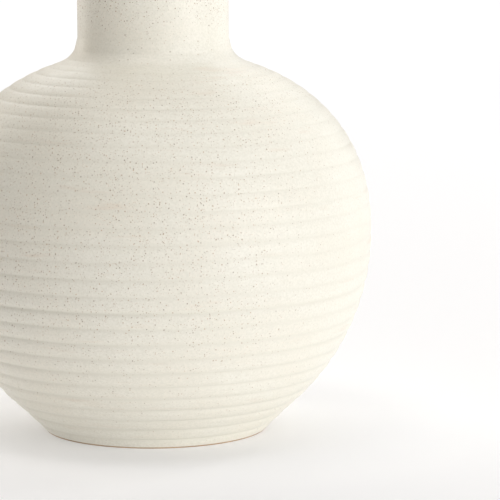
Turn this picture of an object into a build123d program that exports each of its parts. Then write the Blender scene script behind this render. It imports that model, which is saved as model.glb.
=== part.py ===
from build123d import *
import math
import os

# Wheel-thrown stoneware vase: a wide ribbed belly on a low turned foot, and a plain straight neck.
# It is made the way a large closed form is made. Two thrown bowls are luted rim to rim, a thrown neck
# is luted on top, and a floor disc and a foot ring close the bottom. Fired slip fills each joint.
# Glaze covers the outside down to the foot, and the inside. The foot's standing edge stays bare clay.
#
# Millimetres, +Z up. The origin is the centre of the foot, on the surface that the vase stands on.
# Profiles are drawn with x as the radius and y as the height, then turned about the vase's axis.

# Finished outside form, over the glaze
BELLY_RADIUS = 119.8
BELLY_HEIGHT = 109.4
LOWER_RISE = 123.4       # half-height of the superellipse below the belly
LOWER_POWER = 1.98
UPPER_RISE = 100.6       # half-height of the superellipse above the belly
UPPER_POWER = 2.28
NECK_RADIUS = 41.5
NECK_ROOT_RADIUS = 15.0
TOTAL_HEIGHT = 288.0

# Thicknesses
WALL = 7.0
NECK_WALL = 6.0
GLAZE = 0.6
SLIP = 0.6

# Foot and floor
FOOT_RADIUS = 61.2
FOOT_INNER_RADIUS = 51.0
FOOT_RING_HEIGHT = 5.0
FOOT_CONE_HEIGHT = 14.0  # straight slope between the standing edge and the belly's curve
GLAZE_LINE = 0.5         # the glaze stops this far above the standing edge
FLOOR_DISC_RADIUS = 57.0
FLOOR_HEIGHT = 13.0      # top of the glazed floor inside
FLOOR_CORNER_RADIUS = 18.0

# Lip: a round bead that the neck flares out to
LIP_RADIUS = 3.2
LIP_INSET = 0.9          # the bead's centre lies this far inside the neck's outer line
FLARE_START = 268.0
MOUTH_FLARE_START = 276.0

# Throwing rings: grooves at nearly even steps along the outline, from the foot to the neck
GROOVE_COUNT = 29
FIRST_GROOVE = 7.2        # along the outline, from the standing edge
FIRST_PITCH = 9.6
LAST_PITCH = 8.2
GROOVE_DEPTH = 0.5

# Luted joints: a V tongue on the lower piece enters a V groove in the upper one
TONGUE_HALF_WIDTH = 1.5
TONGUE_HEIGHT = 1.2
NECK_JOINT_HEIGHT = 221.0

SPLINE_SPANS = 8
FAR = 2 * TOTAL_HEIGHT


# ---- curves of the outline -------------------------------------------------------------------------

def bisect(is_below, low, high):
    """Value between low and high at which is_below turns from true to false."""
    for _ in range(60):
        middle = (low + high) / 2
        if is_below(middle):
            low = middle
        else:
            high = middle
    return low


def belly_normal(radius, rise, power, height):
    """Outward direction of a superellipse at a height from its widest ring."""
    reach = abs(height) / rise
    across = (1 - reach ** power) ** ((power - 1) / power) / radius
    along = math.copysign(reach ** (power - 1) / rise, height)
    return Vector(across, along).normalized()


def belly_point(radius, rise, power, height, outward=0.0):
    """Point of a superellipse at a height from its widest ring, moved outward."""
    reach = abs(height) / rise
    point = Vector(radius * (1 - reach ** power) ** (1 / power), BELLY_HEIGHT + height)
    return point + belly_normal(radius, rise, power, height) * outward


def belly_curve(radius, rise, power, from_height, to_height):
    """Curve of the superellipse between two heights from its widest ring."""
    start = math.asin(from_height / rise)
    end = math.asin(to_height / rise)
    angles = [start + (end - start) * step / SPLINE_SPANS for step in range(SPLINE_SPANS + 1)]
    points = [belly_point(radius, rise, power, rise * math.sin(angle)) for angle in angles]
    turn = 90 if to_height > from_height else -90
    normals = [belly_normal(radius, rise, power, height) for height in (from_height, to_height)]
    return Spline(*points, tangents=[normal.rotate(Axis.Z, turn) for normal in normals])


def arc_about(centre, start, end):
    """Arc of less than half a turn about a centre."""
    radius = (start - centre).length
    middle = centre + ((start + end) / 2 - centre).normalized() * radius
    return ThreePointArc(start, middle, end)


def neck_root(radius, rise, neck_radius, root_radius):
    """Height above the belly where the shoulder ends, and the arc from there to the straight neck."""
    def centre_at(height):
        return belly_point(radius, rise, UPPER_POWER, height, root_radius)

    height = bisect(lambda value: centre_at(value).X > neck_radius + root_radius, 0, 0.99 * rise)
    centre = centre_at(height)
    start = belly_point(radius, rise, UPPER_POWER, height)
    return height, arc_about(centre, start, Vector(neck_radius, centre.Y))


def shifted(edge, position, depth):
    """Point of an edge at 0 to 1 along it, moved by depth to the left of its direction."""
    point = edge @ position
    direction = edge % position
    return Vector(point.X - depth * direction.Y, point.Y + depth * direction.X)


def shifted_edge(edge, depth):
    """Copy of a line, arc or spline that runs beside it, depth to its left."""
    start = shifted(edge, 0, depth)
    end = shifted(edge, 1, depth)
    if edge.geom_type == GeomType.LINE:
        return Line(start, end)
    if edge.geom_type == GeomType.CIRCLE:
        return ThreePointArc(start, shifted(edge, 0.5, depth), end)
    points = [shifted(edge, step / SPLINE_SPANS, depth) for step in range(SPLINE_SPANS + 1)]
    return Spline(*points, tangents=[edge % 0, edge % 1])


# ---- the finished outline --------------------------------------------------------------------------
# It runs from the foot over the lip to the middle of the floor, with the clay on its left all the way,
# so a shift to the left takes the glaze off.

lip_centre = Vector(NECK_RADIUS - LIP_INSET, TOTAL_HEIGHT - LIP_RADIUS)
lip_crest = Vector(lip_centre.X, TOTAL_HEIGHT)
bore_radius = NECK_RADIUS - NECK_WALL
foot_edge = Vector(FOOT_RADIUS, 0)


def body_guides():
    """Smooth edges under the throwing rings: foot cone, lower belly, shoulder and neck root.

    The cone starts below the standing edge, so that the clay under the glaze reaches down to it too.
    """
    shoulder_end, root_arc = neck_root(BELLY_RADIUS, UPPER_RISE, NECK_RADIUS, NECK_ROOT_RADIUS)
    lower = belly_curve(BELLY_RADIUS, LOWER_RISE, LOWER_POWER, FOOT_CONE_HEIGHT - BELLY_HEIGHT, 0)
    upper = belly_curve(BELLY_RADIUS, UPPER_RISE, UPPER_POWER, 0, shoulder_end)
    cone_start = foot_edge - (lower @ 0 - foot_edge) * (2 * GLAZE / FOOT_CONE_HEIGHT)
    return [Line(cone_start, lower @ 0), lower, upper, root_arc]


def neck_guides(neck_start):
    """Straight neck, its flare, and the outer half of the lip's bead up to its crest."""
    flare_start = Vector(NECK_RADIUS, FLARE_START)
    drop = lip_centre.Y - FLARE_START
    flare_radius = (drop ** 2 + LIP_INSET ** 2 - LIP_RADIUS ** 2) / (2 * (LIP_RADIUS - LIP_INSET))
    flare_centre = flare_start + Vector(flare_radius, 0)
    touch = flare_centre + (lip_centre - flare_centre).normalized() * flare_radius
    return [
        Line(neck_start, flare_start),
        arc_about(flare_centre, flare_start, touch),
        arc_about(lip_centre, touch, lip_crest),
    ]


def hollow_guides():
    """Edges of the hollow: inner half of the lip, mouth flare, bore, shoulder, wall and floor."""
    radius = BELLY_RADIUS - WALL
    lower_rise = LOWER_RISE - WALL
    upper_rise = UPPER_RISE - WALL
    shoulder_end, root_up = neck_root(radius, upper_rise, bore_radius, NECK_ROOT_RADIUS + NECK_WALL)
    root_arc = ThreePointArc(root_up @ 1, root_up @ 0.5, root_up @ 0)

    bore_top = Vector(bore_radius, MOUTH_FLARE_START)
    inset = lip_centre.X - bore_radius
    rise = lip_centre.Y - MOUTH_FLARE_START
    flare_radius = (rise ** 2 + inset ** 2 - LIP_RADIUS ** 2) / (2 * (inset - LIP_RADIUS))
    flare_centre = bore_top + Vector(flare_radius, 0)
    touch = flare_centre + (lip_centre - flare_centre).normalized() * flare_radius

    def corner_centre_at(height):
        return belly_point(radius, lower_rise, LOWER_POWER, height, -FLOOR_CORNER_RADIUS)

    lowest = FLOOR_HEIGHT - BELLY_HEIGHT
    corner_height = FLOOR_HEIGHT + FLOOR_CORNER_RADIUS
    wall_end = bisect(lambda value: corner_centre_at(value).Y < corner_height, lowest, 0)
    corner_centre = corner_centre_at(wall_end)
    corner_start = belly_point(radius, lower_rise, LOWER_POWER, wall_end)
    corner_end = Vector(corner_centre.X, FLOOR_HEIGHT)
    return [
        arc_about(lip_centre, lip_crest, touch),
        arc_about(flare_centre, touch, bore_top),
        Line(bore_top, root_up @ 1),
        root_arc,
        belly_curve(radius, upper_rise, UPPER_POWER, shoulder_end, 0),
        belly_curve(radius, lower_rise, LOWER_POWER, 0, wall_end),
        arc_about(corner_centre, corner_start, corner_end),
        Line(corner_end, Vector(0, FLOOR_HEIGHT)),
    ]


foot_to_neck = body_guides()
ring_path = Wire(foot_to_neck)
neck = neck_guides(foot_to_neck[-1] @ 1)
hollow = hollow_guides()


def groove_places():
    """Distances of the throwing grooves along the outline from its start."""
    places = [(foot_edge - foot_to_neck[0] @ 0).length + FIRST_GROOVE]
    for step in range(GROOVE_COUNT - 1):
        share = step / (GROOVE_COUNT - 2)
        places.append(places[-1] + FIRST_PITCH + (LAST_PITCH - FIRST_PITCH) * share)
    return places


def ribbed_edges(depth):
    """The body's outside with its throwing rings, depth below the glazed surface."""
    def at(distance, extra=0.0):
        return shifted(ring_path, distance / ring_path.length, depth + extra)

    places = groove_places()
    edges = [Line(shifted(foot_to_neck[0], 0, depth), at(places[0], GROOVE_DEPTH))]
    for place, following in zip(places, places[1:]):
        groove = at(place, GROOVE_DEPTH)
        next_groove = at(following, GROOVE_DEPTH)
        edges.append(ThreePointArc(groove, at((place + following) / 2), next_groove))
    last = at(places[-1], GROOVE_DEPTH)
    root_end = at(ring_path.length)
    root_middle = at((places[-1] + ring_path.length) / 2)
    edges.append(ThreePointArc(last, root_middle, root_end))
    return edges


def outside_edges(depth):
    """The whole outside, from the standing edge up to the lip's crest, depth below the glaze."""
    return ribbed_edges(depth) + [shifted_edge(edge, depth) for edge in neck]


def inside_edges(depth):
    """The whole inside, from the lip's crest to the middle of the floor, depth below the glaze."""
    return [shifted_edge(edge, depth) for edge in hollow]


def closed_face(edges, *corners):
    """Face inside a chain of edges and the straight lines that lead back to its start."""
    way_back = Polyline(edges[-1] @ 1, *corners, edges[0] @ 0)
    return make_face([*edges, *way_back.edges()])


# ---- cross-sections of the glazes and of the clay -----------------------------------------------------

def strip(outer, inner):
    """Face between two chains of edges that run side by side."""
    caps = [Line(outer[0] @ 0, inner[0] @ 0), Line(outer[-1] @ 1, inner[-1] @ 1)]
    return make_face([*outer, *inner, *caps])


def box_face(x_from, x_to, y_from, y_to):
    """Rectangle between two radii and two heights."""
    centre = ((x_from + x_to) / 2, (y_from + y_to) / 2)
    return Pos(*centre) * Rectangle(x_to - x_from, y_to - y_from)


def region_below(height, tongue_x):
    """Everything below a joint's height, with the V tongue that rises above it."""
    return make_face(Polyline(
        (-FAR, -FAR),
        (FAR, -FAR),
        (FAR, height),
        (tongue_x + TONGUE_HALF_WIDTH, height),
        (tongue_x, height + TONGUE_HEIGHT),
        (tongue_x - TONGUE_HALF_WIDTH, height),
        (-FAR, height),
        close=True,
    ))


glaze_outside = strip(outside_edges(0), outside_edges(GLAZE)) & box_face(0, FAR, GLAZE_LINE, FAR)
glaze_inside = strip(inside_edges(0), inside_edges(GLAZE))
recess_top = FOOT_RING_HEIGHT + SLIP
clay = closed_face(
    outside_edges(GLAZE) + inside_edges(GLAZE),
    (0, recess_top),
    (FOOT_INNER_RADIUS, recess_top),
    (FOOT_INNER_RADIUS, -GLAZE),
) & box_face(-FAR, FAR, 0, FAR)

# Each joint is a layer of slip between the piece below it and the piece above it.
belly_joint_height = min(
    (shifted(ring_path, place / ring_path.length, 0).Y for place in groove_places()),
    key=lambda height: abs(height - BELLY_HEIGHT),
)
foot_tongue_x = (FOOT_INNER_RADIUS + FOOT_RADIUS) / 2
belly_tongue_x = BELLY_RADIUS - WALL / 2
neck_tongue_x = NECK_RADIUS - NECK_WALL / 2

below_foot = region_below(FOOT_RING_HEIGHT, foot_tongue_x)
below_body = region_below(recess_top, foot_tongue_x)
below_belly = region_below(belly_joint_height, belly_tongue_x)
below_shoulder = region_below(belly_joint_height + SLIP, belly_tongue_x)
below_neck_slip = region_below(NECK_JOINT_HEIGHT, neck_tongue_x)
below_neck = region_below(NECK_JOINT_HEIGHT + SLIP, neck_tongue_x)
disc = box_face(-FAR, FLOOR_DISC_RADIUS, -FAR, FLOOR_HEIGHT)
disc_and_slip = box_face(-FAR, FLOOR_DISC_RADIUS + SLIP, -FAR, FLOOR_HEIGHT)

above_foot = clay - below_body
sections = {
    "foot_ring": clay & below_foot,
    "foot_slip": (clay & below_body) - below_foot,
    "base_disc": above_foot & disc,
    "base_slip": (above_foot & disc_and_slip) - disc,
    "lower_bowl": (above_foot & below_belly) - disc_and_slip,
    "belly_slip": (clay & below_shoulder) - below_belly,
    "upper_bowl": (clay & below_neck_slip) - below_shoulder,
    "neck_slip": (clay & below_neck) - below_neck_slip,
    "neck_tube": clay - below_neck,
    "outer_glaze": glaze_outside,
    "liner_glaze": glaze_inside,
}


# ---- the pieces ------------------------------------------------------------------------------------

def turned(section):
    """Solid swept by a cross-section in one turn about the vase's axis."""
    return revolve(Plane.XZ * section, Axis.Z, 360)


os.makedirs("parts", exist_ok=True)
for name, section in sections.items():
    piece = turned(section)
    piece.label = name
    export_step(piece, f"parts/{name}.step")
    print(f"{name:12s} {piece.volume / 1000:8.1f} cm3  {len(piece.solids())} solid")
print(f"belly joint at {belly_joint_height:.1f} mm")
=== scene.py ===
import math

import bpy
import numpy as np
from mathutils import Matrix, Vector


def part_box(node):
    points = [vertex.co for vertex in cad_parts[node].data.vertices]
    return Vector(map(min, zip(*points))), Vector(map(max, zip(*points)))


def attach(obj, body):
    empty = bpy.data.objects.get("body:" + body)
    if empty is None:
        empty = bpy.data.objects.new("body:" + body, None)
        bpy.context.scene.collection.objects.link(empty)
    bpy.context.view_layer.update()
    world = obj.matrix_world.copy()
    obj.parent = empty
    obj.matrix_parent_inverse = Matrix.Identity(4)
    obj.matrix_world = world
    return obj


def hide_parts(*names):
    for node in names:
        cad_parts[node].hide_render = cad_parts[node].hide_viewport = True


# Looks of a wheel-thrown stoneware vase, built around its CAD frame. Metres, +Z up, the vase's axis on Z.
# Every visible piece is a closed mesh turned about that axis, with the small unevenness of hand work.

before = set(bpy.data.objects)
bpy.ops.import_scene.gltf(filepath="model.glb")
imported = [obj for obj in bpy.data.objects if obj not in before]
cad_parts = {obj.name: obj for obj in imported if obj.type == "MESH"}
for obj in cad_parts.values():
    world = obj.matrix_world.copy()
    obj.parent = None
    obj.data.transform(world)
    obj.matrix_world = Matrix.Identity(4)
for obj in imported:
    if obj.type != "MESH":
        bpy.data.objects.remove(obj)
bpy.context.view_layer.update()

MM = 0.001

# Outline, with the CAD model's dimensions
BELLY_RADIUS = 119.8 * MM
BELLY_HEIGHT = 109.4 * MM
LOWER_RISE = 123.4 * MM
LOWER_POWER = 1.98
UPPER_RISE = 100.6 * MM
UPPER_POWER = 2.28
NECK_RADIUS = 41.5 * MM
NECK_ROOT_RADIUS = 15.0 * MM
WALL = 7.0 * MM
NECK_WALL = 6.0 * MM
GLAZE = 0.6 * MM
FOOT_RADIUS = 61.2 * MM
FOOT_CONE_HEIGHT = 14.0 * MM
FOOT_INNER_RADIUS = 51.0 * MM
FLOOR_CORNER_RADIUS = 18.0 * MM
LIP_RADIUS = 3.2 * MM
LIP_INSET = 0.9 * MM
FLARE_DROP = 20.0 * MM        # from the lip's top down to where the neck starts to flare
MOUTH_FLARE_DROP = 12.0 * MM  # the same inside the mouth
TONGUE_HALF_WIDTH = 1.5 * MM
TONGUE_HEIGHT = 1.2 * MM

# The foot's straight cone runs into the belly's curve: how many of its steps stay, and how many of the
# belly's steps the soft join takes the place of
CONE_STEPS = 40
CONE_KEPT = 30
BELLY_SKIPPED = 5

# Throwing rings, placed along the outline from the standing edge
GROOVE_COUNT = 29
FIRST_GROOVE = 7.2 * MM
FIRST_PITCH = 9.6 * MM
LAST_PITCH = 8.2 * MM
GROOVE_DEPTH = 0.5 * MM
# Depth of the rings by distance along the outline, as a share of GROOVE_DEPTH
RING_STRENGTHS = ((0, 1.20), (25 * MM, 1.40), (50 * MM, 1.65), (90 * MM, 1.55), (130 * MM, 0.95),
                  (160 * MM, 0.65), (210 * MM, 0.70), (260 * MM, 0.70))
VALLEY_WIDTH = 0.14           # half width of a groove, in pitches
BAND_SHARE = 0.45             # share of the depth that the rounded bands take, the rest being the groove
INSET = 0.06 * MM             # keeps the uneven skin inside the CAD model's even one
INSET_FADE = 30 * MM          # the inset fades to nothing over this distance below the lip
EDGE_ROLL = 0.9 * MM          # the glaze's lower edge rounds off over this distance
EDGE_ROLL_DEPTH = 0.3 * MM

# Finger rings inside
LINER_PITCH = 10.5 * MM
LINER_RELIEF = 0.35 * MM

# Marks of the turning tool on the foot ring and under the base disc
TOOL_LINE_DEPTH = 0.07 * MM
TOOL_LINE_PITCH = 1.15 * MM
TRIM_RING_DEPTH = 0.16 * MM
TRIM_RING_PITCH = 3.4 * MM
CENTRE_RISE = 0.5 * MM
CENTRE_SPREAD = 6 * MM

# Heights and radii read from the frame
TOTAL_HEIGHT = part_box("outer_glaze")[1].z
GLAZE_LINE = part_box("outer_glaze")[0].z
GLAZE_EDGE = 0.6 * GLAZE_LINE            # the coat sags a little past the line
FLOOR_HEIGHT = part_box("liner_glaze")[0].z + GLAZE
FOOT_RING_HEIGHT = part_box("foot_slip")[0].z
RECESS_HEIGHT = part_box("base_disc")[0].z
DISC_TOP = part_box("base_disc")[1].z
DISC_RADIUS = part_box("base_disc")[1].x
BORE_RADIUS = NECK_RADIUS - NECK_WALL

# Camera: its place, its lens, and how it is turned from looking along +Y
CAMERA_DISTANCE = 1.5683
CAMERA_HEIGHT = 0.3231
CAMERA_LENS = 205.97                     # millimetres, with the sensor width below
CAMERA_SENSOR = 36.0
CAMERA_PITCH = -0.1421
CAMERA_YAW = -0.0336
CAMERA_ROLL = -0.0032

SHARP_ANGLE = math.radians(45)
FLOOR_HALF = 12.0
LIT_POINT = Vector((0.0, 0.0, 0.15))     # where the lights aim
REAR_AIM = Vector((0.0, -0.2, -2.2))     # direction of the rear light, down at the floor behind the vase

rng = np.random.default_rng(7)


# ---- outline of the vase, as points (radius, height) ------------------------------------------------

def bisect(is_below, low, high):
    """Value between low and high at which is_below turns from true to false."""
    for _ in range(60):
        middle = (low + high) / 2
        if is_below(middle):
            low = middle
        else:
            high = middle
    return low


def belly_point(radius, rise, power, height, outward=0.0):
    """Point of a superellipse at a height from its widest ring, moved outward along its normal."""
    reach = abs(height) / rise
    x = radius * (1 - reach ** power) ** (1 / power)
    normal = np.array([(x / radius) ** (power - 1) / radius,
                       math.copysign(reach ** (power - 1) / rise, height)])
    return np.array([x, BELLY_HEIGHT + height]) + outward * normal / np.hypot(*normal)


def belly_curve(radius, rise, power, from_height, to_height, steps=160):
    """Points of the superellipse between two heights from its widest ring."""
    angles = np.linspace(math.asin(from_height / rise), math.asin(to_height / rise), steps + 1)
    return [belly_point(radius, rise, power, rise * math.sin(angle)) for angle in angles]


def arc_about(centre, start, end, steps=24):
    """Points of the shorter arc about a centre from start to end."""
    first = math.atan2(start[1] - centre[1], start[0] - centre[0])
    turn = math.atan2(end[1] - centre[1], end[0] - centre[0]) - first
    turn = (turn + math.pi) % (2 * math.pi) - math.pi
    radius = math.hypot(start[0] - centre[0], start[1] - centre[1])
    angles = first + turn * np.linspace(0, 1, steps + 1)
    return [np.array([centre[0] + radius * math.cos(a), centre[1] + radius * math.sin(a)]) for a in angles]


def line(start, end, steps=24):
    """Points of a straight line."""
    return [np.asarray(start) + (np.asarray(end) - np.asarray(start)) * share
            for share in np.linspace(0, 1, steps + 1)]


def corner_curve(before, corner, after, steps=12):
    """Points that round a corner off, from a point before it to a point after it."""
    shares = np.linspace(0, 1, steps + 1)
    return [(1 - t) ** 2 * before + 2 * t * (1 - t) * corner + t ** 2 * after for t in shares]


def neck_root(radius, rise, neck_radius, root_radius):
    """Height above the belly where the shoulder ends, and the arc from there to the straight neck."""
    def centre_at(height):
        return belly_point(radius, rise, UPPER_POWER, height, root_radius)

    height = bisect(lambda value: centre_at(value)[0] > neck_radius + root_radius, 0, 0.99 * rise)
    centre = centre_at(height)
    start = belly_point(radius, rise, UPPER_POWER, height)
    return height, arc_about(centre, start, (neck_radius, centre[1]))


lip_centre = np.array([NECK_RADIUS - LIP_INSET, TOTAL_HEIGHT - LIP_RADIUS])
lip_crest = np.array([lip_centre[0], TOTAL_HEIGHT])


def touching_flare(start, inset, radius_sign):
    """Centre and end of the flare's arc that starts upright and runs on into the lip's bead.

    inset is how far the bead's centre lies outward of the start; radius_sign is -1 outside and 1 inside.
    """
    rise = lip_centre[1] - start[1]
    flare_radius = (rise ** 2 + inset ** 2 - LIP_RADIUS ** 2) / (2 * (inset - radius_sign * LIP_RADIUS))
    centre = np.array([start[0] + flare_radius, start[1]])
    towards = (lip_centre - centre) / np.hypot(*(lip_centre - centre))
    return centre, centre + towards * flare_radius


def outside_outline():
    """From the standing edge up the belly and the neck to the lip's crest."""
    join = FOOT_CONE_HEIGHT - BELLY_HEIGHT
    shoulder_end, root = neck_root(BELLY_RADIUS, UPPER_RISE, NECK_RADIUS, NECK_ROOT_RADIUS)
    lower = belly_curve(BELLY_RADIUS, LOWER_RISE, LOWER_POWER, join, 0)
    upper = belly_curve(BELLY_RADIUS, UPPER_RISE, UPPER_POWER, 0, shoulder_end)
    cone = line((FOOT_RADIUS, 0), lower[0], CONE_STEPS)
    soft_join = corner_curve(cone[CONE_KEPT], lower[0], lower[BELLY_SKIPPED])
    flare_start = (NECK_RADIUS, TOTAL_HEIGHT - FLARE_DROP)
    flare_centre, touch = touching_flare(flare_start, -LIP_INSET, -1)
    return (cone[:CONE_KEPT] + soft_join + lower[BELLY_SKIPPED + 1:] + upper[1:] + root[1:]
            + line(root[-1], flare_start)[1:]
            + arc_about(flare_centre, flare_start, touch)[1:]
            + arc_about(lip_centre, touch, lip_crest)[1:])


def inside_outline():
    """From the lip's crest down the bore and the wall to the middle of the floor."""
    radius = BELLY_RADIUS - WALL
    lower_rise = LOWER_RISE - WALL
    upper_rise = UPPER_RISE - WALL
    shoulder_end, root = neck_root(radius, upper_rise, BORE_RADIUS, NECK_ROOT_RADIUS + NECK_WALL)
    bore_top = (BORE_RADIUS, TOTAL_HEIGHT - MOUTH_FLARE_DROP)
    flare_centre, touch = touching_flare(bore_top, lip_centre[0] - BORE_RADIUS, 1)

    def corner_centre(height):
        return belly_point(radius, lower_rise, LOWER_POWER, height, -FLOOR_CORNER_RADIUS)

    corner_height = FLOOR_HEIGHT + FLOOR_CORNER_RADIUS
    wall_end = bisect(lambda value: corner_centre(value)[1] < corner_height, FLOOR_HEIGHT - BELLY_HEIGHT, 0)
    centre = corner_centre(wall_end)
    wall = belly_curve(radius, lower_rise, LOWER_POWER, 0, wall_end)
    return (arc_about(lip_centre, lip_crest, touch)
            + arc_about(flare_centre, touch, bore_top)[1:]
            + line(bore_top, root[-1])[1:]
            + root[::-1][1:]
            + belly_curve(radius, upper_rise, UPPER_POWER, shoulder_end, 0)[1:]
            + wall[1:]
            + arc_about(centre, wall[-1], (centre[0], FLOOR_HEIGHT))[1:]
            + line((centre[0], FLOOR_HEIGHT), (0.0, FLOOR_HEIGHT))[1:])


def measured(points):
    """Outline with each point's distance along it and its normal towards the clay, on its left."""
    points = np.array(points)
    steps = np.hypot(*np.diff(points, axis=0).T)
    distance = np.concatenate([[0], np.cumsum(steps)])
    along = np.gradient(points, distance, axis=0)
    along /= np.hypot(along[:, 0], along[:, 1])[:, None]
    inward = np.column_stack([-along[:, 1], along[:, 0]])
    return {"points": points, "distance": distance, "inward": inward, "length": distance[-1]}


def sampled(outline, places):
    """Radii and heights of a measured outline at distances along it, and its normals there."""
    points = [np.interp(places, outline["distance"], outline["points"][:, axis]) for axis in (0, 1)]
    inward = [np.interp(places, outline["distance"], outline["inward"][:, axis]) for axis in (0, 1)]
    return points, inward


# ---- turned meshes ----------------------------------------------------------------------------------

def turned_mesh(name, radii, heights, attributes=None):
    """Closed mesh from a loop of (sample, angle) radii and heights. A radius of 0 becomes one pole."""
    samples, turns = radii.shape
    angles = np.arange(turns) * 2 * math.pi / turns
    co = np.stack([radii * np.cos(angles), radii * np.sin(angles), heights], axis=-1).reshape(-1, 3)
    index = np.arange(samples * turns).reshape(samples, turns)
    for row in range(samples):
        if radii[row].max() < 1e-7:
            index[row] = index[row, 0]
    above = np.roll(index, -1, axis=0)
    quads = np.stack([index, np.roll(index, -1, axis=1), np.roll(above, -1, axis=1), above], axis=-1)
    quads = quads.reshape(-1, 4)
    faces = []
    for quad in quads.tolist():
        corners = list(dict.fromkeys(quad))
        if len(corners) > 2:
            faces.append(corners)
    used = np.unique(np.concatenate([np.array(face) for face in faces]))
    place = np.zeros(len(co), int)
    place[used] = np.arange(len(used))
    mesh = bpy.data.meshes.new(name)
    mesh.from_pydata(co[used].tolist(), [], [[int(place[i]) for i in face] for face in faces])
    for key, values in (attributes or {}).items():
        layer = mesh.attributes.new(key, "FLOAT", "POINT")
        layer.data.foreach_set("value", values.reshape(-1)[used].astype(np.float32))
    mesh.polygons.foreach_set("use_smooth", [True] * len(mesh.polygons))
    mesh.set_sharp_from_angle(angle=SHARP_ANGLE)
    mesh.update()
    return mesh


def piece(name, mesh, material, slot, *nodes):
    """Object for a mesh, riding on the vase's one body and standing for its CAD nodes."""
    obj = bpy.data.objects.new(name, mesh)
    bpy.context.scene.collection.objects.link(obj)
    mesh.materials.append(material)
    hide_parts(*nodes)
    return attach(obj, "root")


def groove_places():
    """Distances of the throwing grooves along the outside from the standing edge."""
    pitches = np.linspace(FIRST_PITCH, LAST_PITCH, GROOVE_COUNT - 1)
    return np.concatenate([[FIRST_GROOVE], FIRST_GROOVE + np.cumsum(pitches)])


def waves(count, turns, amounts):
    """One slow random wave round the vase for each ring, summed from the given harmonics' amounts."""
    angles = np.arange(turns) * 2 * math.pi / turns
    total = np.zeros((count, turns))
    for harmonic, amount in amounts:
        total += amount * np.sin(harmonic * angles + rng.uniform(0, 2 * math.pi, (count, 1)))
    return total


def ringed_rows(groove_at, start, head, band, tail):
    """Distances of a ringed skin's rows, by (row, angle), and each row's groove number and offset from it.

    Offsets are in pitches. Rows follow the grooves round the vase and crowd towards them: head rows come
    before the first band, band rows to each groove, and then the rows at the distances in tail.
    """
    count, turns = groove_at.shape
    steps = np.arange(band) / band - 0.5
    offsets = 0.5 * np.sign(steps) * np.abs(2 * steps) ** 1.5
    phases = (np.arange(count)[:, None] + offsets).ravel()
    knots = np.vstack([2 * groove_at[0] - groove_at[1], groove_at, 2 * groove_at[-1] - groove_at[-2]])
    knot_numbers = np.arange(-1, count + 1)
    rows = np.array([np.interp(phases, knot_numbers, knots[:, turn]) for turn in range(turns)]).T
    after = (knots[-1] + knots[-2]) / 2
    before = start + (rows[0] - start) * np.linspace(0, 1, head, endpoint=False)[:, None]
    beyond = np.vstack([after, tail[:, None] + 0 * after])
    nearest = np.rint(phases).astype(int)
    numbers = np.concatenate([np.zeros(head, int), nearest, np.full(len(beyond), count - 1)])
    offsets = np.concatenate([np.full(head, 0.5), phases - nearest, np.full(len(beyond), 0.5)])
    return np.vstack([before, rows, beyond]), numbers, np.abs(offsets)


def skin(name, outline, places, relief, nearness, thickness, back_rows):
    """Closed coat: a front with relief at rows of places on an outline, and a plain back behind it.

    relief is each front row's depth below the outline, thickness the back's depth, and nearness how
    close each front row is to a groove, which the glaze's colour follows.
    """
    (radii, heights), (inward_r, inward_z) = sampled(outline, places)
    radii = radii + inward_r * relief
    heights = heights + inward_z * relief
    back_places = np.linspace(places[0].max(), places[-1].min(), back_rows)[::-1]
    (back_radii, back_heights), (back_r, back_z) = sampled(outline, back_places[:, None] + 0 * places[:1])
    back_radii = back_radii + back_r * thickness
    back_heights = back_heights + back_z * thickness
    radii = np.clip(np.vstack([radii, back_radii]), 0, None)
    nearness = np.vstack([nearness, np.zeros_like(back_radii)])
    return turned_mesh(name, radii, np.vstack([heights, back_heights]), {"groove": nearness})


# ---- materials --------------------------------------------------------------------------------------

def rgba(red, green, blue):
    """Opaque colour."""
    return (red, green, blue, 1.0)


def new_material(name):
    """Material with an empty node tree, and its tree."""
    material = bpy.data.materials.new(name)
    material.use_nodes = True
    material.node_tree.nodes.clear()
    return material, material.node_tree


def add(tree, kind, inputs=None, **settings):
    """Node of a kind, with its settings, and its inputs set to values or linked to sockets."""
    node = tree.nodes.new(kind)
    for key, value in settings.items():
        setattr(node, key, value)
    for key, value in (inputs or {}).items():
        if isinstance(value, bpy.types.NodeSocket):
            tree.links.new(value, node.inputs[key])
        else:
            node.inputs[key].default_value = value
    return node


def maths(tree, operation, first, second=0.0, clamp=False):
    """Result of a two-input math node."""
    node = add(tree, "ShaderNodeMath", {0: first, 1: second}, operation=operation, use_clamp=clamp)
    return node.outputs[0]


def rescale(tree, value, from_low, from_high, to_low=0.0, to_high=1.0):
    """Value carried smoothly from one range to another, and held at its ends."""
    node = add(tree, "ShaderNodeMapRange",
               {"Value": value, "From Min": from_low, "From Max": from_high,
                "To Min": to_low, "To Max": to_high}, interpolation_type="SMOOTHSTEP")
    return node.outputs["Result"]


def mixed(tree, factor, first, second, blend_type="MIX"):
    """Mix of two colours."""
    node = add(tree, "ShaderNodeMix", data_type="RGBA", blend_type=blend_type)
    for index, value in ((0, factor), (6, first), (7, second)):
        if isinstance(value, bpy.types.NodeSocket):
            tree.links.new(value, node.inputs[index])
        else:
            node.inputs[index].default_value = value
    return node.outputs[2]


def placed(tree, scale, offset=(0, 0, 0)):
    """Object coordinates, scaled and offset."""
    coordinates = add(tree, "ShaderNodeTexCoord").outputs["Object"]
    node = add(tree, "ShaderNodeMapping", {"Vector": coordinates, "Location": offset, "Scale": scale})
    return node.outputs["Vector"]


def noise(tree, scale, detail=2.0, roughness=0.5, offset=(0, 0, 0)):
    """Noise from 0 to 1; scale is its features per metre along each axis."""
    node = add(tree, "ShaderNodeTexNoise",
               {"Vector": placed(tree, scale, offset), "Scale": 1.0,
                "Detail": detail, "Roughness": roughness})
    return node.outputs["Fac"]


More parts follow.
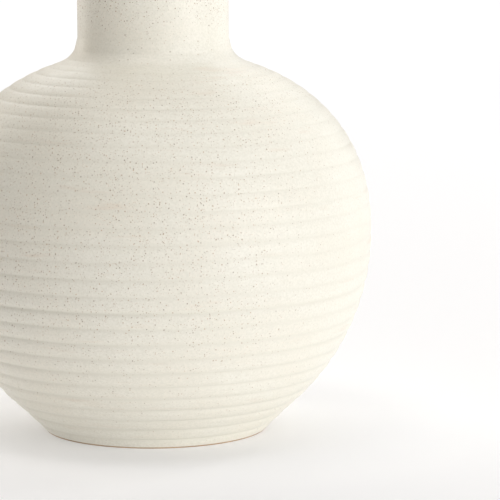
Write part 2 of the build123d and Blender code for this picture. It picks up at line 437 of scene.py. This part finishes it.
def dots(tree, cell, smallest, largest, share, softness, offset):
    """Mask of round dots of uneven size in a share of the cells, and a random value for each cell.

    All lengths are in metres; share is a number or a socket.
    """
    voronoi = add(tree, "ShaderNodeTexVoronoi",
                  {"Vector": placed(tree, (1 / cell,) * 3, offset), "Scale": 1.0, "Randomness": 1.0})
    random = add(tree, "ShaderNodeSeparateColor", {"Color": voronoi.outputs["Color"]})
    above = maths(tree, "SUBTRACT", random.outputs[0], maths(tree, "SUBTRACT", 1.0, share))
    rank = maths(tree, "DIVIDE", above, share)
    size = maths(tree, "ADD", maths(tree, "MULTIPLY", rank, (largest - smallest) / cell), smallest / cell)
    inside_by = maths(tree, "SUBTRACT", size, voronoi.outputs["Distance"])
    depth = maths(tree, "DIVIDE", inside_by, softness / cell)
    shown = maths(tree, "GREATER_THAN", above, 0.0)
    mask = maths(tree, "MULTIPLY", maths(tree, "MINIMUM", depth, 1.0), shown, clamp=True)
    return mask, random.outputs[1]


def curve(tree, value, points):
    """Value carried through a smooth curve given by points (value, result) with results from 0 to 1."""
    low, high = points[0][0], points[-1][0]
    share = add(tree, "ShaderNodeMapRange", {"Value": value, "From Min": low, "From Max": high})
    ramp = add(tree, "ShaderNodeValToRGB", {"Fac": share.outputs["Result"]})
    ramp.color_ramp.interpolation = "EASE"
    elements = ramp.color_ramp.elements
    while len(elements) < len(points):
        elements.new(0.5)
    for element, (place, result) in zip(elements, points):
        element.position = (place - low) / (high - low)
        element.color = rgba(result, result, result)
    return ramp.outputs["Color"]


def surface(tree, colour, roughness, bump, coat=0.0, coat_roughness=0.3, specular=0.5):
    """Principled shader and output for a colour, a roughness and a bumped normal."""
    shader = add(tree, "ShaderNodeBsdfPrincipled",
                 {"Base Color": colour, "Roughness": roughness, "Normal": bump,
                  "Coat Weight": coat, "Coat Roughness": coat_roughness, "Specular IOR Level": specular})
    add(tree, "ShaderNodeOutputMaterial", {"Surface": shader.outputs[0]})
    return shader


def bumped(tree, layers):
    """Normal raised by layers of (height, distance in metres)."""
    normal = None
    for height, distance in layers:
        inputs = {"Height": height, "Distance": distance, "Strength": 1.0}
        if normal is not None:
            inputs["Normal"] = normal
        normal = add(tree, "ShaderNodeBump", inputs).outputs[0]
    return normal


CREAM = rgba(0.915, 0.889, 0.800)
WARM_CREAM = rgba(0.900, 0.860, 0.760)
# Darker cream: random mottling, and glaze pooling in the grooves together with painted groove shade
POOLED_CREAM_AND_SHADE = rgba(0.820, 0.795, 0.700)
TAN = rgba(0.520, 0.340, 0.190)
IRON = rgba(0.200, 0.120, 0.065)
BLOOM = rgba(0.720, 0.560, 0.420)

# How crowded the iron speckles are by height: few near the foot and at the root of the neck
SPECKLE_HEIGHTS = ((0, 0.15), (40 * MM, 0.40), (85 * MM, 0.85), (115 * MM, 1.0), (190 * MM, 1.0),
                   (208 * MM, 0.22), (220 * MM, 0.45), (230 * MM, 1.0), (288 * MM, 0.85))


def speckled_glaze():
    """Satin cream glaze: warm patches, fine iron speckles that thin out on the lit side as painted light,
    glaze pooling with painted shade in the grooves, tan on some crests.
    """
    material, tree = new_material("speckled_glaze")
    position = placed(tree, (1, 1, 1))
    height = add(tree, "ShaderNodeSeparateXYZ", {"Vector": position}).outputs["Z"]
    groove = add(tree, "ShaderNodeAttribute", attribute_name="groove").outputs["Fac"]

    patches = rescale(tree, noise(tree, (24, 24, 30), 3.0), 0.35, 0.70)
    colour = mixed(tree, patches, CREAM, WARM_CREAM)
    mottle = rescale(tree, noise(tree, (850, 850, 850), 2.0, 0.6, (3, 1, 7)), 0.30, 0.70, 0.0, 0.85)
    colour = mixed(tree, mottle, colour, POOLED_CREAM_AND_SHADE)
    # Darker in the grooves: glaze pooling there, together with painted shade in the grooves
    pooled_and_groove_shade = maths(tree, "MULTIPLY", groove, 0.55, clamp=True)
    colour = mixed(tree, pooled_and_groove_shade, colour, POOLED_CREAM_AND_SHADE)
    bloom = rescale(tree, noise(tree, (18, 18, 140), 3.0, 0.6, (9, 4, 2)), 0.58, 0.78)
    crest = maths(tree, "SUBTRACT", 1.0, groove, clamp=True)
    toasted = maths(tree, "MULTIPLY", maths(tree, "MULTIPLY", bloom, crest), 0.28)
    colour = mixed(tree, toasted, colour, BLOOM)

    # Painted light: the speckles thin out and grow fainter towards the brightly lit right front, as if
    # washed out by the light
    toward_lit_side = add(tree, "ShaderNodeVectorMath", {0: position, 1: (0.80, -0.25, 0.0)}, operation="DOT_PRODUCT")
    side = rescale(tree, toward_lit_side.outputs["Value"], 48 * MM, 100 * MM, 1.0, 0.14)
    clouds = rescale(tree, noise(tree, (28, 28, 40), 2.0, 0.5, (5, 2, 9)), 0.30, 0.70, 0.65, 1.0)
    speckle_clouds_lit_fade = maths(tree, "MULTIPLY", side, clouds)
    crowded = maths(tree, "MULTIPLY", speckle_clouds_lit_fade, curve(tree, height, SPECKLE_HEIGHTS))
    depth = rescale(tree, crowded, 0.0, 0.8, 0.40, 0.90)
    fine, fine_tone = dots(tree, 0.85 * MM, 0.08 * MM, 0.24 * MM, crowded, 0.10 * MM, (11, 3, 5))
    larger, larger_tone = dots(tree, 1.50 * MM, 0.16 * MM, 0.40 * MM, crowded, 0.12 * MM, (2, 17, 8))
    colour = mixed(tree, maths(tree, "MULTIPLY", fine, depth), colour, mixed(tree, fine_tone, IRON, TAN))
    colour = mixed(tree, maths(tree, "MULTIPLY", larger, depth), colour, mixed(tree, larger_tone, IRON, TAN))

    # Tan towards the glaze's lower edge, along a ragged line
    edge = maths(tree, "ADD", height, maths(tree, "MULTIPLY", noise(tree, (90, 90, 90), 2.0), 1.2 * MM))
    lower_edge_tan = rescale(tree, edge, GLAZE_LINE + 0.3 * MM, GLAZE_LINE + 1.3 * MM, 0.5, 0.0)
    colour = mixed(tree, lower_edge_tan, colour, BLOOM)

    roughness = rescale(tree, noise(tree, (120, 120, 120), 2.0, 0.5, (1, 6, 2)), 0.3, 0.7, 0.42, 0.54)
    normal = bumped(tree, [
        (noise(tree, (25, 25, 900), 2.0, 0.5, (4, 4, 4)), 0.05 * MM),
        (noise(tree, (260, 260, 260), 2.0, 0.5, (8, 1, 3)), 0.08 * MM),
        (maths(tree, "ADD", fine, larger), -0.03 * MM),
    ])
    surface(tree, colour, roughness, normal, coat=0.08, coat_roughness=0.35)
    return material


def bare_clay(name, light, dark):
    """Fired clay without glaze: toasted patches, grog grains and a dry, gritty skin."""
    material, tree = new_material(name)
    patches = rescale(tree, noise(tree, (45, 45, 45), 4.0, 0.6), 0.35, 0.68)
    colour = mixed(tree, patches, light, dark)
    grains, grain_tone = dots(tree, 1.1 * MM, 0.10 * MM, 0.36 * MM, 0.45, 0.10 * MM, (6, 2, 1))
    grain_colour = mixed(tree, grain_tone, rgba(0.60, 0.47, 0.36), rgba(0.10, 0.06, 0.04))
    colour = mixed(tree, maths(tree, "MULTIPLY", grains, 0.6), colour, grain_colour)
    grit = noise(tree, (1500, 1500, 1500), 3.0, 0.6)
    roughness = rescale(tree, grit, 0.3, 0.7, 0.80, 0.95)
    normal = bumped(tree, [(noise(tree, (300, 300, 300), 3.0), 0.12 * MM), (grit, 0.10 * MM)])
    surface(tree, colour, roughness, normal, specular=0.25)
    return material


def studio_white():
    """Matt pale sheet that the vase stands on, lit a little from below as on a light table."""
    material, tree = new_material("studio_white")
    fibres = noise(tree, (60, 60, 60), 3.0)
    colour = mixed(tree, fibres, rgba(0.735, 0.732, 0.742), rgba(0.751, 0.748, 0.758))
    shader = surface(tree, colour, 0.9, bumped(tree, [(fibres, 0.02 * MM)]), specular=0.1)
    shader.inputs["Emission Color"].default_value = rgba(1.0, 1.0, 1.0)
    shader.inputs["Emission Strength"].default_value = 0.265
    return material


# ---- the pieces ------------------------------------------------------------------------------------

# Steps round the vase
TURNS = 240
LINER_TURNS = 192
CLAY_TURNS = 192

outside = measured(outside_outline())
inside = measured(inside_outline())


def cone_place(height):
    """Distance along the outside at which the foot's straight cone reaches a height."""
    return np.interp(height, outside["points"][:CONE_KEPT, 1], outside["distance"][:CONE_KEPT])


def outer_glaze_mesh():
    """Glaze over the whole outside: soft bands between narrow throwing grooves, and a rolled lower edge."""
    start = cone_place(GLAZE_EDGE)
    groove_at = groove_places()[:, None] + waves(GROOVE_COUNT, TURNS, ((1, 0.16 * MM), (2, 0.07 * MM)))
    end = outside["length"]
    root_start = groove_at[-1].max() + 0.6 * LAST_PITCH
    root_end = root_start + 22 * MM
    lip_start = end - 13 * MM
    tail = np.concatenate([np.linspace(root_start, root_end, 20, endpoint=False),
                           np.linspace(root_end, lip_start, 7, endpoint=False),
                           np.linspace(lip_start, end, 16)])
    places, numbers, offsets = ringed_rows(groove_at, start, head=8, band=11, tail=tail)
    strength = rng.uniform(0.82, 1.12, (GROOVE_COUNT, 1))
    strength = strength + waves(GROOVE_COUNT, TURNS, ((1, 0.12), (3, 0.07)))
    strength *= np.interp(groove_places(), *zip(*RING_STRENGTHS))[:, None]
    groove = np.exp(-(offsets / VALLEY_WIDTH) ** 2)[:, None]
    band = (1 - 2 * offsets)[:, None] ** 2
    relief = GROOVE_DEPTH * strength[numbers] * ((1 - BAND_SHARE) * groove + BAND_SHARE * band)
    relief = relief + INSET * np.clip((end - places) / INSET_FADE, 0, 1)
    roll = np.clip(1 - (places - start) / EDGE_ROLL, 0, 1)
    relief = relief + EDGE_ROLL_DEPTH * roll ** 2
    return skin("outer_glaze_coat", outside, places, relief, groove * strength[numbers],
                thickness=GLAZE + GROOVE_DEPTH, back_rows=26)


def liner_glaze_mesh():
    """Glaze over the whole inside, with the broad soft rings that the fingers left."""
    length = inside["length"]
    rings = np.arange(0.27 * length, 0.93 * length, LINER_PITCH)
    count = len(rings)
    groove_at = rings[:, None] + waves(count, LINER_TURNS, ((1, 0.6 * MM), (2, 0.3 * MM)))
    tail = np.linspace(groove_at[-1].max() + 0.6 * LINER_PITCH, length, 10)
    places, numbers, offsets = ringed_rows(groove_at, 0.0, head=40, band=7, tail=tail)
    strength = rng.uniform(0.7, 1.2, (count, 1))
    strength = strength + waves(count, LINER_TURNS, ((1, 0.15), (2, 0.10)))
    swell = (0.5 + 0.5 * np.cos(2 * math.pi * offsets))[:, None]
    relief = LINER_RELIEF * strength[numbers] * swell
    return skin("liner_glaze_coat", inside, places, relief, swell * strength[numbers],
                thickness=GLAZE + LINER_RELIEF / 2, back_rows=30)


def foot_ring_mesh():
    """Turned foot ring: rounded standing edges, fine tool lines and the tongue on top."""
    edge = 0.25 * MM
    inner_edge = 1.4 * MM
    # The wall lies behind the glaze, and comes out a little towards the standing edge
    places = np.linspace(0, cone_place(FOOT_RING_HEIGHT), 16)
    (radii, heights), (inward_r, inward_z) = sampled(outside, places)
    inset = GLAZE * np.clip(heights / GLAZE_LINE, 0.4, 1.0)
    wall = np.column_stack([radii + inward_r * inset, heights + inward_z * inset])
    wall = wall[(wall[:, 1] > edge) & (wall[:, 1] < FOOT_RING_HEIGHT)]
    outer = wall[0, 0]
    bottom = np.linspace(outer - edge, FOOT_INNER_RADIUS + inner_edge, 60)
    tool_lines = TOOL_LINE_DEPTH * (0.5 + 0.5 * np.sin(bottom / TOOL_LINE_PITCH * 2 * math.pi))
    tool_lines *= np.clip((bottom - bottom[-1]) * (bottom[0] - bottom) / MM ** 2, 0, 1)
    tongue = (FOOT_INNER_RADIUS + FOOT_RADIUS) / 2
    profile = [
        *wall[::-1],
        *arc_about((outer - edge, edge), (outer, edge), (outer - edge, 0), 8),
        *np.column_stack([bottom, tool_lines])[1:-1],
        *arc_about((FOOT_INNER_RADIUS + inner_edge, inner_edge), (FOOT_INNER_RADIUS + inner_edge, 0),
                   (FOOT_INNER_RADIUS, inner_edge), 8),
        *line((FOOT_INNER_RADIUS, inner_edge), (FOOT_INNER_RADIUS, FOOT_RING_HEIGHT), 6)[1:],
        *line((FOOT_INNER_RADIUS, FOOT_RING_HEIGHT), (tongue - TONGUE_HALF_WIDTH, FOOT_RING_HEIGHT), 3)[1:],
        np.array((tongue, FOOT_RING_HEIGHT + TONGUE_HEIGHT)),
        np.array((tongue + TONGUE_HALF_WIDTH, FOOT_RING_HEIGHT)),
    ]
    return even_mesh("turned_foot_ring", np.array(profile)[::-1])


def base_disc_mesh():
    """Floor disc with the trimming tool's rings and a small raised centre underneath."""
    radii = np.linspace(0, FOOT_INNER_RADIUS + 3 * MM, 120)
    rings = TRIM_RING_DEPTH * (0.5 - 0.5 * np.cos(radii / TRIM_RING_PITCH * 2 * math.pi))
    dish = CENTRE_RISE * (1 - np.exp(-(radii / CENTRE_SPREAD) ** 2))
    blend = np.clip((FOOT_INNER_RADIUS - radii) / (2 * MM), 0, 1)
    under = np.column_stack([radii, RECESS_HEIGHT + (rings + dish) * blend])
    top = line((DISC_RADIUS, DISC_TOP), (0.0, DISC_TOP), 12)
    side = line((DISC_RADIUS, RECESS_HEIGHT), (DISC_RADIUS, DISC_TOP), 3)
    return even_mesh("turned_base_disc", np.vstack([under, side, top[1:]]))


def even_mesh(name, profile):
    """Closed mesh from a loop of (radius, height) points, the same all round."""
    turns = np.ones((1, CLAY_TURNS))
    return turned_mesh(name, profile[:, :1] * turns, profile[:, 1:] * turns)


glaze = speckled_glaze()
toasted_clay = bare_clay("toasted_clay", rgba(0.560, 0.400, 0.250), rgba(0.430, 0.280, 0.170))
clay_body = bare_clay("clay_body", rgba(0.520, 0.400, 0.300), rgba(0.440, 0.320, 0.230))
fired_slip = bare_clay("fired_slip", rgba(0.420, 0.310, 0.220), rgba(0.350, 0.250, 0.170))

piece("outer_glaze_coat", outer_glaze_mesh(), glaze, "speckled_glaze", "outer_glaze")
piece("liner_glaze_coat", liner_glaze_mesh(), glaze, "liner_glaze", "liner_glaze")
piece("turned_foot_ring", foot_ring_mesh(), toasted_clay, "bare_clay", "foot_ring")
piece("turned_base_disc", base_disc_mesh(), toasted_clay, "bare_clay", "base_disc")
for node_names, material in ((("lower_bowl", "upper_bowl", "neck_tube"), clay_body),
                             (("foot_slip", "base_slip", "belly_slip", "neck_slip"), fired_slip)):
    for node_name in node_names:
        cad_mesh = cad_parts[node_name].data
        cad_mesh.materials.clear()
        cad_mesh.materials.append(material)


# ---- floor, light and camera -------------------------------------------------------------------------

def floor():
    """Wide pale floor."""
    mesh = bpy.data.meshes.new("floor")
    corners = [(x * FLOOR_HALF, y * FLOOR_HALF, 0) for x, y in ((-1, -1), (1, -1), (1, 1), (-1, 1))]
    mesh.from_pydata(corners, [], [(0, 1, 2, 3)])
    mesh.materials.append(studio_white())
    obj = bpy.data.objects.new("floor", mesh)
    bpy.context.scene.collection.objects.link(obj)


WARM_WHITE = (1.0, 0.935, 0.850)


def softbox(name, azimuth, elevation, distance, size, watts, colour=(1.0, 1.0, 1.0)):
    """Rectangular soft light aimed at the vase; azimuth 0 is the camera's side and 90 the right."""
    light = bpy.data.lights.new(name, "AREA")
    light.shape = "RECTANGLE"
    light.size, light.size_y = size
    light.energy = watts
    light.color = colour
    obj = bpy.data.objects.new(name, light)
    turn, lift = math.radians(azimuth), math.radians(elevation)
    reach = Vector((math.sin(turn) * math.cos(lift), -math.cos(turn) * math.cos(lift), math.sin(lift)))
    obj.location = LIT_POINT + distance * reach
    obj.rotation_euler = (-reach).to_track_quat("-Z", "Y").to_euler()
    obj.visible_camera = False
    bpy.context.scene.collection.objects.link(obj)
    return obj


def camera():
    """Camera at the photograph's viewing angle."""
    data = bpy.data.cameras.new("camera")
    data.lens = CAMERA_LENS
    data.sensor_width = CAMERA_SENSOR
    data.clip_end = 50.0
    obj = bpy.data.objects.new("camera", data)
    turn = (Matrix.Rotation(CAMERA_YAW, 4, "Z") @ Matrix.Rotation(math.pi / 2 + CAMERA_PITCH, 4, "X")
            @ Matrix.Rotation(CAMERA_ROLL, 4, "Z"))
    obj.matrix_world = Matrix.Translation((0, -CAMERA_DISTANCE, CAMERA_HEIGHT)) @ turn
    bpy.context.scene.collection.objects.link(obj)
    bpy.context.scene.camera = obj


def studio():
    """Soft light all round, strongest from the right, with a lit background and little from front left."""
    world = bpy.data.worlds.new("studio")
    world.use_nodes = True
    background = world.node_tree.nodes["Background"]
    background.inputs["Color"].default_value = rgba(1.0, 0.965, 0.91)
    background.inputs["Strength"].default_value = 0.13
    bpy.context.scene.world = world
    bpy.context.scene.view_settings.view_transform = "Standard"
    softbox("front_right", 45, 13, 2.0, (1.9, 1.2), 16.5)
    softbox("low_front_right", 55, -2, 2.0, (1.6, 0.16), 6.8)
    softbox("low_front_left", 320, -2, 2.0, (1.2, 0.16), 1.6, WARM_WHITE)
    softbox("rear_right", 128, 13, 2.0, (1.4, 1.2), 6.8)
    softbox("rear_left", 225, 13, 2.0, (0.6, 1.2), 9, WARM_WHITE)
    softbox("key", 114, 46, 1.8, (0.35, 0.35), 2.2)
    softbox("upper_right", 90, 58, 1.9, (0.8, 0.8), 2.2)
    softbox("overhead_front", 0, 75, 1.8, (1.0, 0.6), 6.2)
    softbox("overhead_left", 270, 75, 1.8, (0.6, 0.6), 3.9, WARM_WHITE)
    softbox("upper_left", 300, 58, 1.9, (1.2, 0.8), 1.8, WARM_WHITE)
    rear = softbox("rear_floor", 180, 31, 4.2, (4.0, 3.6), 98)
    rear.rotation_euler = REAR_AIM.to_track_quat("-Z", "Y").to_euler()


floor()
studio()
camera()
